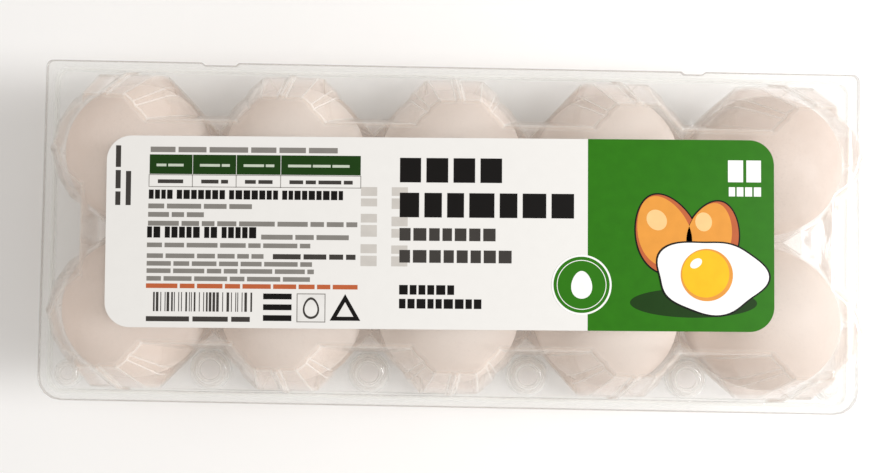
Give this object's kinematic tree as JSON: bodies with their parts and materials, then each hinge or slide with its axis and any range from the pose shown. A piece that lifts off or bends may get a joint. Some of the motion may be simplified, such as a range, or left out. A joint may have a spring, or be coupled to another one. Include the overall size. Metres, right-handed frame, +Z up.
{
  "type": "egg carton with eggs",
  "caption": "Clear plastic hinged egg carton, shut over two rows of pale hen's eggs, with a flat label on its lid.",
  "frame": {"origin": "centre of the carton in plan, on the plane its cups stand on", "axes": "+X along the carton to the right, +Y towards the hinge at the back, +Z up through the lid"},
  "size_m": [0.244, 0.1016, 0.0666],
  "materials": {
    "clear_plastic": "clear glossy thin plastic sheet",
    "label_paper": "printed coated paper, semi-matt",
    "eggshell": "matt pale cream eggshell"
  },
  "bodies": {
    "tray": {"tray": "clear_plastic", "egg_01": "eggshell", "egg_02": "eggshell", "egg_03": "eggshell", "egg_04": "eggshell", "egg_05": "eggshell", "egg_06": "eggshell", "egg_07": "eggshell", "egg_08": "eggshell", "egg_09": "eggshell", "egg_10": "eggshell"},
    "lid": {"lid": "clear_plastic", "label": "label_paper"}
  },
  "joints": [
    {"name": "lid_hinge", "type": "hinge", "parent": "tray", "child": "lid", "pos_m": [0, 0.0511, 0.0344], "axis": [-1, 0, 0], "range_deg": [0, 180]}
  ]
}
